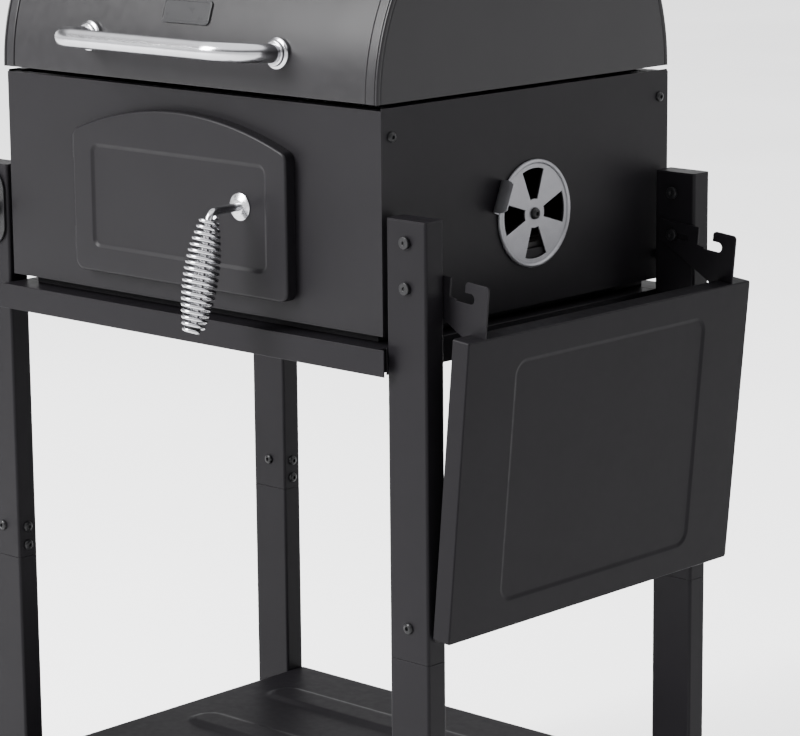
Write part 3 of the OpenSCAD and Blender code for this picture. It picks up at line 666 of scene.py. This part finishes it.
class GRILLCART_OT_door(bpy.types.Operator):
    """Make the arched charcoal door, its hinges and its coil-gripped latch handle"""

    bl_idname = "grillcart.door"
    bl_label = "Charcoal door"

    def execute(self, context):
        self.panel()
        softened("door_hinge_brackets", "base", "body_paint", 0.25)
        softened("door_hinge_pins", "base", "galvanised", 0.25)
        self.handle(context.scene.grill_cart)
        return {"FINISHED"}

    def panel(self):
        face, bend = DOOR_FACE, 2.6

        def field(grow, y):
            low, high = (-124 - grow, -166 - grow), (124 + grow, -62 + grow)
            return [(x, y, z) for x, z in rounded_outline(low, high, 9 + grow, *DOOR_STEPS)]

        def door(inset, y):
            return [(x, y, z) for x, z in arched_outline(inset)]

        # Out from the pressed field to the rolled edge, round it to the back and in again.
        pressed = ((-3.4, 2.0), (-2.6, 1.9), (-1.2, 1.3), (0, 0.6), (0.9, 0.12), (1.8, 0.0))
        loops = [field(grow, face + deep) for grow, deep in pressed]
        for a in (math.pi / 8 * k for k in range(5)):
            loops.append(door(bend * (1 - math.sin(a)), face + bend * (1 - math.cos(a))))
        loops += [door(0, -1.2), door(0.3, -0.6), door(1.2, -0.6), door(1.4, face + 3.0), door(2.6, face + 1.5)]
        loops += [field(2.4, face + 1.5), field(0, face + 3.4)]
        parts = [face_out(loft(loops))]
        x, y, _ = middle("door_hinge_pins")
        knuckle = [(0, 0), (3.0, 0), (3.3, 0.3), (3.3, 10.7), (3.0, 11), (0, 11)]
        for z in (-66.8, -160.8):
            parts.append(turned(knuckle, 24, (x, y, z)))
            parts.append(block((x + 0.5, y - 1.5, z + 0.2), (0.8 - DOOR_HIGH.x, y + 1.5, z + 10.8)))
        obj = bevel(new_object("Door_panel", joined(parts)), 0.3, 1, 50)
        dress(obj, "door", "body_paint", ["door_panel"], 40)

    def handle(self, cart):
        hx, _, hz = middle("door_washer")
        seat = DOOR_FACE + 2.0
        cone = [
            (0, 0.1), (13.2, 0.1), (13.5, 0.5), (13.5, 1.1), (12.6, 1.7), (8.2, 3.4), (7.2, 3.9), (6.2, 4.0),
            (0, 4.0),
        ]
        boss = new_object("Door_handle_boss", turned(cone, 56, (hx, seat, hz), (0, -1, 0)))
        dress(boss, "latch", "stainless", ["door_washer"], 40)
        tilt = math.radians(cart.grip_tilt)
        reach, bend, length, rod = 51.0, 9.0, 118.0, 4.0
        down = Vector((0, -math.sin(tilt), -math.cos(tilt)))
        corner = Vector((hx, -reach, hz))
        start, end = corner + Vector((0, bend, 0)), corner + down * bend
        path = [(hx, seat + 1, hz), (hx, -20, hz)]
        path += [start * (1 - t) ** 2 + corner * 2 * t * (1 - t) + end * t**2 for t in (k / 8 for k in range(9))]
        path += [corner + down * (length - 3), corner + down * (length - 1)]
        radii = [rod] * (len(path) - 1) + [rod * 0.8]
        dress(new_object("Door_handle_rod", swept(path, radii, 28)), "latch", "chrome", ["door_handle_rod"], 50)
        tip = [(0, -5), (6.8, -5), (7.4, -4.2), (7.4, 0.4), (6.6, 1.5), (4, 2.1), (0, 2.2)]
        plug = turned(tip, 32, tuple(corner + down * (length - 3.4)), tuple(down))
        dress(new_object("Door_grip_end_plug", plug), "latch", "black_plastic", (), 40)
        self.coil(cart, corner + down * 5, tilt, length - 7)
        softened("door_latch_cam", "latch", "galvanised", 0.4)

    def coil(self, cart, top, tilt, length):
        wire = cart.coil_wire / 2
        values = {
            "Turns": float(cart.coil_turns), "Length": length * MM, "Wire radius": wire,
            "Top radius": cart.coil_top / 2 - wire, "Middle radius": cart.coil_middle / 2 - wire,
            "End radius": cart.coil_end / 2 - wire, "Turn": math.pi - tilt,
        }
        inputs = [(label, "NodeSocketFloat", size) for label, size in values.items()]
        tree, source = new_tree("Barrel_coil", [("Place", "NodeSocketVector", None), *inputs])
        spiral = add(tree, "GeometryNodeCurveSpiral", {
            "Resolution": 36, "Rotations": source["Turns"], "Start Radius": 1.0, "End Radius": 1.0,
            "Height": source["Length"],
        })
        # The radius falls away from the middle with the square of the way to either end.
        along = add(tree, "GeometryNodeSplineParameter").outputs["Factor"]
        way = add(tree, "ShaderNodeMath", {0: along, 1: -2.0, 2: 1.0}, operation="MULTIPLY_ADD").outputs[0]
        square = add(tree, "ShaderNodeMath", {0: way, 1: way}, operation="MULTIPLY").outputs[0]
        upper = add(tree, "FunctionNodeCompare", {0: way, 1: 0.0}, data_type="FLOAT", operation="GREATER_THAN")
        last = add(tree, "GeometryNodeSwitch", {
            "Switch": upper.outputs[0], "False": source["End radius"], "True": source["Top radius"],
        }, input_type="FLOAT").outputs[0]
        ends = {0: square, 2: source["Middle radius"], 3: last}
        radius = add(tree, "ShaderNodeMix", ends, data_type="FLOAT").outputs[0]
        swell = add(tree, "ShaderNodeCombineXYZ", {0: radius, 1: radius, 2: 1.0}).outputs[0]
        here = add(tree, "GeometryNodeInputPosition").outputs[0]
        there = add(tree, "ShaderNodeVectorMath", {0: here, 1: swell}, operation="MULTIPLY").outputs[0]
        barrel = add(tree, "GeometryNodeSetPosition", {"Geometry": spiral.outputs[0], "Position": there})
        circle = add(tree, "GeometryNodeCurvePrimitiveCircle", {
            "Resolution": 12, "Radius": source["Wire radius"],
        })
        pipe = add(tree, "GeometryNodeCurveToMesh", {
            "Curve": barrel.outputs[0], "Profile Curve": circle.outputs[0], "Fill Caps": True,
        })
        turn = add(tree, "ShaderNodeCombineXYZ", {0: source["Turn"]})
        put = add(tree, "GeometryNodeTransform", {
            "Geometry": pipe.outputs[0], "Translation": source["Place"], "Rotation": turn.outputs[0],
        })
        end_tree(tree, put.outputs[0], MATERIALS["chrome"])
        values["Place"] = list(place(*top))
        obj = run_tree("Door_grip_coil", tree, bpy.data.meshes.new("Door_grip_coil"), values)
        dress(obj, "latch", "chrome", ["door_handle_grip"], 60)


# ---------- vents ----------


class GRILLCART_OT_vents(bpy.types.Operator):
    """Make the two rotary vent discs and their screws"""

    bl_idname = "grillcart.vents"
    bl_label = "Side vents"

    def execute(self, context):
        _, y, z = middle("vent_screws")
        for side, name in ((1, "right"), (-1, "left")):

            def spot(r, angle, out):
                a = math.radians(angle)
                return (side * (FIRE_HALF + 0.4 + out), y + r * math.cos(a), z + r * math.sin(a))

            bm = joined([self.plate(spot), self.bead(spot), self.tab(spot)])
            obj = bevel(new_object("Vent_disc_" + name, bm), 0.25, 1, 50)
            dress(obj, "vent_" + name, "galvanised", ["vent_disc_" + name], 40)
        spots = [((side * (FIRE_HALF + 1.5), y, z), (side, 0, 0), 25) for side in (-1, 1)]
        scattered("Vent_screws", screw_head(6.0, 4.0), spots, "base", "black_screw", ["vent_screws"])
        return {"FINISHED"}

    def plate(self, spot):
        """The flat disc with its four holes, made of rings of faces with gaps at the holes."""
        thick, half_hole, turn = 1.2, 20.5, 2.7
        inner, outer, rim = 14.4, 44.8, 49.6
        angles = []
        for quarter in range(4):
            mid = quarter * 90 + turn
            angles += [(mid - half_hole + 2 * half_hole * k / 8, True) for k in range(8)]
            angles += [(mid + half_hole + (90 - 2 * half_hole) * k / 10, False) for k in range(10)]
        bm = bmesh.new()
        grid = {
            (r, out): [bm.verts.new(place(*spot(r, a, out))) for a, _ in angles]
            for out in (0.0, thick) for r in (0.0, inner, outer, rim)
        }

        def wall(a, b, i, j):
            bm.faces.new((grid[a][i], grid[a][j], grid[b][j], grid[b][i]))

        for i, (_, hole) in enumerate(angles):
            j = (i + 1) % len(angles)
            for near, far in ((0.0, inner), (inner, outer), (outer, rim)):
                if not (hole and near == inner):
                    for out in (0.0, thick):
                        wall((near, out), (far, out), i, j)
            for r in (inner, outer) if hole else ():
                wall((r, 0.0), (r, thick), i, j)
            if hole != angles[i - 1][1]:
                corners = ((inner, 0.0), (outer, 0.0), (outer, thick), (inner, thick))
                bm.faces.new([grid[corner][i] for corner in corners])
            wall((rim, 0.0), (rim, thick), i, j)
        bmesh.ops.remove_doubles(bm, verts=bm.verts, dist=1e-6)
        bmesh.ops.dissolve_degenerate(bm, edges=bm.edges, dist=1e-6)
        return face_out(bm)

    def bead(self, spot):
        """The rolled edge round the disc."""
        bead = (
            (48.8, 0), (48.8, 0.9), (49.2, 1.9), (50.0, 2.8), (51.1, 3.3), (52.3, 3.0), (53.1, 2.1),
            (53.5, 1.0), (53.5, 0),
        )
        rings = [[spot(r, 360 * k / 96, out) for r, out in bead] for k in range(97)]
        return face_out(loft(rings, caps=(False, False)))

    def tab(self, spot):
        """The finger tab: up out of the disc's edge in a soft bend, with rounded corners."""
        half_wide, half_thick, angle = 16.5, 0.75, 157
        aside_y, aside_z = -math.sin(math.radians(angle)), math.cos(math.radians(angle))
        path = [
            (50.0, 0.7), (56.5, 0.7), (58.6, 1.1), (60.2, 2.4), (61.0, 4.4), (61.2, 8), (61.2, 12),
            (60.9, 15.5), (60.3, 18.4),
        ]
        # Its last points narrow it to the rounded corners.
        narrower = (0, 0, 0, 0, 0, 0, 0.2, 1.2, 3.4)
        steps = (-1, -0.5, 0, 0.5, 1)
        loops = []
        for k, (r, out) in enumerate(path):
            ahead = Vector(path[min(k + 1, len(path) - 1)]) - Vector(path[max(k - 1, 0)])
            normal = Vector((-ahead.y, ahead.x)).normalized() * half_thick
            loop = []
            for sign, row in ((1, steps), (-1, steps[::-1])):
                x, y, z = spot(r + normal.x * sign, angle, out + normal.y * sign)
                for across in row:
                    aside = across * (half_wide - narrower[k])
                    loop.append((x, y + aside * aside_y, z + aside * aside_z))
            loops.append(loop)
        return face_out(loft(loops))


# ---------- frame, shelf and wheels ----------


class GRILLCART_OT_frame(bpy.types.Operator):
    """Make the legs, rails, caps, bottom shelf and their screws"""

    bl_idname = "grillcart.frame"
    bl_label = "Frame and shelf"

    def execute(self, context):
        edge = context.scene.grill_cart.edge_radius / MM
        for level, end, side in product(("upper", "lower"), ("front", "rear"), ("right", "left")):
            node = f"{level}_leg_{end}_{side}"
            softened(node, "base", "frame_paint", 0.35, 2)
        softened("leg_caps", "base", "frame_paint", 0.5)
        softened("foot_caps", "base", "black_plastic", 1.2, 3)
        for node in ("front_rail", "rear_rail", "side_rail_right", "side_rail_left"):
            softened(node, "base", "frame_paint", edge, 3)
        self.shelf()
        # One screw in each leg's front face and two in its inner face.
        upper_z, lower_z = -489, -509
        spots = []
        for end in ("front", "rear"):
            leg = f"upper_leg_{end}_right"
            low, mid = span(leg)[0], middle(leg)
            for side in (-1, 1):
                spots.append(((side * mid.x, low.y, upper_z), (0, -1, 0), 10 * len(spots)))
                inner = (-side, 0, 0)
                spots += [((side * low.x, mid.y, z), inner, 17 * len(spots)) for z in (upper_z, lower_z)]
        scattered("Leg_screws", screw_head(5.6, 3.2), spots, "base", "black_screw", ["leg_screws"])
        return {"FINISHED"}

    def shelf(self):
        low, high = span("bottom_shelf")
        x1, y0, y1, bend, sheet = high.x, low.y, high.y, 2.0, 1.2
        rib_half, rib_reach, rib_rise, rib_slope, rib_gap = 22.5, 207, 3.0, 6.0, 122.5
        top = high.z - rib_rise
        cols, rows = 136, 108
        ribs = [(y0 + y1) / 2 + k * rib_gap for k in (-1, 0, 1)]

        def rise(x, y):
            nearest = min(math.hypot(max(abs(x) - rib_reach, 0), y - mid) for mid in ribs)
            t = min(max((rib_half - nearest) / rib_slope, 0), 1)
            return rib_rise * t * t * (3 - 2 * t)

        bm = bmesh.new()
        grid = []
        for j in range(rows + 1):
            y = y0 + bend + (y1 - y0 - 2 * bend) * j / rows
            across = [-x1 + bend + (2 * x1 - 2 * bend) * i / cols for i in range(cols + 1)]
            grid.append([bm.verts.new(place(x, y, top + rise(x, y))) for x in across])
        for j, i in product(range(rows), range(cols)):
            bm.faces.new((grid[j][i], grid[j][i + 1], grid[j + 1][i + 1], grid[j + 1][i]))
        border = grid[0] + [row[-1] for row in grid[1:]] + grid[-1][-2::-1] + [row[0] for row in grid[-2:0:-1]]
        # The edges fold down in a bend and hang as a skirt, drawn in a little at the corners.
        folds = [(bend * math.sin(a), bend * (1 - math.cos(a))) for a in (math.pi / 6 * k for k in (1, 2, 3))]
        previous = border
        for reach, down in (*folds, (bend, top - low.z)):
            ring = []
            for vert in border:
                x, y, _ = (vert.co - RIM) / MM
                out_x = (x > x1 - bend - 0.1) - (x < -x1 + bend + 0.1)
                out_y = (y > y1 - bend - 0.1) - (y < y0 + bend + 0.1)
                out = reach * (0.72 if out_x and out_y else 1.0)
                ring.append(bm.verts.new(place(x + out_x * out, y + out_y * out, top - down)))
            for k in range(len(border)):
                n = (k + 1) % len(border)
                bm.faces.new((previous[k], ring[k], ring[n], previous[n]))
            previous = ring
        bmesh.ops.recalc_face_normals(bm, faces=bm.faces)
        if sum(face.normal.z for face in bm.faces) < 0:
            bmesh.ops.reverse_faces(bm, faces=bm.faces)
        obj = new_object("Bottom_shelf", bm)
        mod = obj.modifiers.new("Sheet", "SOLIDIFY")
        mod.thickness = sheet * MM
        mod.offset = -1.0
        dress(baked(obj), "base", "shelf_paint", ["bottom_shelf"], 35)


class GRILLCART_OT_wheels(bpy.types.Operator):
    """Make the axle, its caps and the two wheels with their tyres"""

    bl_idname = "grillcart.wheels"
    bl_label = "Wheels"

    def execute(self, context):
        softened("axle", "base", "galvanised", 0.6)
        softened("axle_caps", "base", "black_plastic", 1.2, 3)
        for end in ("front", "rear"):
            body = "wheel_set_" + end
            softened("wheel_" + end, body, "black_plastic", 0.9, 2)
            low, high = span("tyre_" + end)
            centre, r, w = middle("tyre_" + end), (high.z - low.z) / 2, (high.y - low.y) / 2
            tyre = [
                (r - 14, -w), (r - 4, -w), (r - 2.4, -w + 1.0), (r - 1.6, -w + 3), (r - 1.6, w - 3),
                (r - 2.4, w - 1.0), (r - 4, w), (r - 14, w), (r - 14, -w),
            ]
            obj = new_object("Tyre_" + end, turned(tyre, 96, tuple(centre), (0, 1, 0)))
            dress(obj, body, "tyre_rubber", ["tyre_" + end], 40)
            # Two rows of lugs, half a step apart.
            count, row_y, seat = 36, 6.2, r - 2.2
            spots = []
            for k, row in product(range(count), (-1, 1)):
                a = 2 * math.pi * k / count + row * math.pi / (2 * count)
                out = Vector((math.cos(a), 0, math.sin(a)))
                spots.append((centre + out * seat + Vector((0, row * row_y, 0)), out, 0))
            scattered("Tyre_lugs_" + end, self.lug(), spots, body, "tyre_rubber", ())
        return {"FINISHED"}

    def lug(self):
        """A block standing on the origin, narrower at its top."""
        long, wide, high, narrowing = 8.4, 10.4, 2.1, 0.82
        bm = bmesh.new()
        bmesh.ops.create_cube(bm, size=1.0)
        for vert in bm.verts:
            x, y, z = vert.co
            shrink = narrowing if z > 0 else 1.0
            vert.co = Vector((x * long * shrink, y * wide * shrink, (z + 0.5) * high)) * MM
        return bm


# ---------- side table ----------


class GRILLCART_OT_table(bpy.types.Operator):
    """Make the folding side table, its hooked brackets, bolts, bumpers and the bottle opener"""

    bl_idname = "grillcart.table"
    bl_label = "Side table"

    def execute(self, context):
        self.pan()
        softened("table_right_brackets", "side_table_right", "frame_paint", 0.35, name="Table_brackets")
        softened("table_nuts", "base", "galvanised", 0.4)
        softened("table_bumpers", "base", "black_rubber", 0.8)
        softened("bottle_opener", "base", "black_screw", 0.6, 3)
        softened("table_bolts", "base", "black_screw", 0.8, 3, name="Table_bolt_shanks")
        return {"FINISHED"}

    def pan(self):
        # Drawn hanging from the pivot in the leg's middle, leaning out by the tilt.
        pivot_x, pivot_z, tilt = middle("upper_leg_front_right").x, -162.0, math.radians(5.3)
        back, face, low, high = 60.2, 80.2, -329.0, -35.0
        near, far = (corner.y for corner in span("table_right"))
        steps, edges, bend, sheet = 8, 16, 1.6, 1.2

        def level(outline, p):
            return [
                (
                    pivot_x + p * math.cos(tilt) + q * math.sin(tilt), y,
                    pivot_z - p * math.sin(tilt) + q * math.cos(tilt),
                )
                for y, q in outline
            ]

        def rim(inset, radius, p):
            corners = (near + inset, low + inset), (far - inset, high - inset)
            return level(rounded_outline(*corners, radius, steps, edges), p)

        def field(grow, p):
            corners = (near + 70 - grow, low + 28 - grow), (far - 70 + grow, high - 28 + grow)
            return level(rounded_outline(*corners, 15 + grow, steps, edges), p)

        # Out from the pressed field to the folded rim, round its edge and in again behind.
        pressed = ((-3.6, 1.5), (-2.6, 1.42), (-1.2, 0.95), (0, 0.4), (1.0, 0.07), (1.8, 0.0))
        loops = [field(grow, face - deep) for grow, deep in pressed]
        for a in (math.pi / 6 * k for k in range(4)):
            loops.append(rim(bend * (1 - math.sin(a)), 2.2, face - bend * (1 - math.cos(a))))
        loops += [rim(0, 2.2, back + 0.3), rim(0.3, 2.0, back), rim(sheet - 0.2, 1.5, back)]
        loops += [rim(sheet, 1.2, face - 2.2), rim(sheet + 1, 1.0, face - sheet)]
        loops += [field(2.2, face - sheet), field(0, face - sheet - 1.5)]
        obj = new_object("Table_top", face_out(loft(loops)))
        dress(obj, "side_table_right", "table_paint", ["table_right"], 40)


# ---------- stage ----------


class GRILLCART_OT_stage(bpy.types.Operator):
    """Make the pale floor, the soft studio light and the camera"""

    bl_idname = "grillcart.stage"
    bl_label = "Stage, light and camera"

    def execute(self, context):
        cart = context.scene.grill_cart
        bm = bmesh.new()
        bmesh.ops.create_circle(bm, cap_ends=True, segments=96, radius=40.0)
        floor = new_object("Studio_floor", bm)
        floor.location.z = FLOOR_Z
        material, tree, shader, where = new_surface("Studio_floor_paint")
        shade = clouded(tree, where, 900, linear("#f4f4f4"), linear("#fafafa"), 2)
        feed(tree, shader, {"Base Color": shade, "Roughness": 0.8, "Specular IOR Level": 0.2})
        floor.data.materials.append(material)
        world = bpy.data.worlds.new("Studio")
        context.scene.world = world
        world.use_nodes = True
        tree = world.node_tree
        # A pale horizon, a darker band above it and a bright ceiling, as in a studio with white walls.
        ways = add(tree, "ShaderNodeTexCoord").outputs["Generated"]
        height = add(tree, "ShaderNodeSeparateXYZ", {0: ways}).outputs[2]
        ramp = add(tree, "ShaderNodeValToRGB", {0: height})
        stops = ((0.0, 0.8), (0.12, 0.8), (0.28, 0.08), (0.5, 0.1), (0.72, 1.0), (1.0, 1.0))
        while len(ramp.color_ramp.elements) < len(stops):
            ramp.color_ramp.elements.new(0.5)
        for element, (at, level) in zip(ramp.color_ramp.elements, stops):
            element.position = at
            element.color = (level, level, level * 1.01, 1)
        feed(tree, tree.nodes["Background"], {0: ramp.outputs[0], 1: cart.dome_light})
        self.softbox("Key_softbox", (-1.85, -3.85, 3.45), (0, 0, 0.9), (2.2, 2.7), cart.key_light)
        self.softbox("Rim_softbox", (2.5, 2.6, 2.8), (0, 0, 0.9), (1.6, 1.6), cart.rim_light)
        self.camera(context)
        return {"FINISHED"}

    def softbox(self, name, where, aim, size, power):
        light = bpy.data.lights.new(name, "AREA")
        light.shape = "RECTANGLE"
        light.size, light.size_y = size
        light.energy = power
        obj = bpy.data.objects.new(name, light)
        obj.location = where
        obj.rotation_euler = (Vector(aim) - Vector(where)).to_track_quat("-Z", "Y").to_euler()
        bpy.context.scene.collection.objects.link(obj)

    def camera(self, context):
        azimuth, lift, roll = (math.radians(v) for v in (43.1100, 11.8119, -0.5140))
        right = Vector((math.cos(azimuth), math.sin(azimuth), 0))
        level = Vector((-math.sin(azimuth), math.cos(azimuth), 0))
        ahead = level * math.cos(lift) - Vector((0, 0, math.sin(lift)))
        up = right.cross(ahead)
        across = right * math.cos(roll) + up * math.sin(roll)
        above = up * math.cos(roll) - right * math.sin(roll)
        data = bpy.data.cameras.new("Camera")
        data.sensor_width = 36.0
        data.lens = 143.495
        data.clip_end = 100.0
        camera = bpy.data.objects.new("Camera", data)
        turn = Matrix((across, above, -ahead)).transposed().to_4x4()
        camera.matrix_world = Matrix.Translation(place(2276.36, -2125.56, 370.41)) @ turn
        context.scene.collection.objects.link(camera)
        context.scene.camera = camera


# ---------- settings and panel ----------


def length(name, description, default):
    """A setting that is a length in metres."""
    return FloatProperty(name=name, description=description, default=default, unit="LENGTH")


class GrillCartSettings(bpy.types.PropertyGroup):
    """Sizes and colours that a user may want to change"""

    coat_color: FloatVectorProperty(
        name="Coat colour", description="Powder coat colour", subtype="COLOR_GAMMA", size=3, min=0, max=1,
        default=(0.052, 0.049, 0.054),
    )
    coat_gloss: FloatProperty(
        name="Coat roughness", description="Roughness of the powder coat", default=0.42, min=0, max=1
    )
    lid_waves: FloatProperty(
        name="Lid waves", description="Depth of the lid sheet's waves, in millimetres", default=0.5
    )
    edge_radius: length("Edge radius", "Radius of sheet edges", 0.0007)
    handle_diameter: length("Lid handle", "Diameter of the lid handle", 0.019)
    grip_tilt: FloatProperty(name="Grip tilt", description="Lean of the door grip, in degrees", default=13.0)
    coil_turns: IntProperty(
        name="Coil turns", description="Turns of wire round the door grip", default=19, min=4
    )
    coil_wire: length("Coil wire", "Diameter of the grip's wire", 0.0039)
    coil_top: length("Coil top", "Diameter of the coil at its top", 0.0176)
    coil_middle: length("Coil middle", "Diameter of the coil at its middle", 0.0358)
    coil_end: length("Coil end", "Diameter of the coil at its end", 0.0205)
    dome_light: FloatProperty(
        name="Dome light", description="Strength of the light from all round", default=3.3
    )
    key_light: FloatProperty(
        name="Key light", description="Power of the front softbox, in watts", default=1250.0
    )
    rim_light: FloatProperty(name="Rim light", description="Power of the rear softbox, in watts", default=60.0)


PIECES = (
    GRILLCART_OT_stage, GRILLCART_OT_firebox, GRILLCART_OT_lid, GRILLCART_OT_door,
    GRILLCART_OT_vents, GRILLCART_OT_frame, GRILLCART_OT_wheels, GRILLCART_OT_table,
)


class GRILLCART_PT_panel(bpy.types.Panel):
    """Lists the settings and the pieces"""

    bl_idname = "GRILLCART_PT_panel"
    bl_label = "Grill cart"
    bl_space_type = "VIEW_3D"
    bl_region_type = "UI"
    bl_category = "Grill cart"

    def draw(self, context):
        cart = context.scene.grill_cart
        for key in GrillCartSettings.__annotations__:
            self.layout.prop(cart, key)
        for piece in PIECES:
            self.layout.operator(piece.bl_idname)


def register():
    for kind in (GrillCartSettings, *PIECES, GRILLCART_PT_panel):
        bpy.utils.register_class(kind)
    bpy.types.Scene.grill_cart = PointerProperty(type=GrillCartSettings)


def unregister():
    del bpy.types.Scene.grill_cart
    for kind in (GRILLCART_PT_panel, *reversed(PIECES), GrillCartSettings):
        bpy.utils.unregister_class(kind)


def main():
    """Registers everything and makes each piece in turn."""
    register()
    MATERIALS.update(make_materials(bpy.context.scene.grill_cart))
    for piece in PIECES:
        group, verb = piece.bl_idname.split(".")
        getattr(getattr(bpy.ops, group), verb)()


if __name__ == "__main__":
    main()
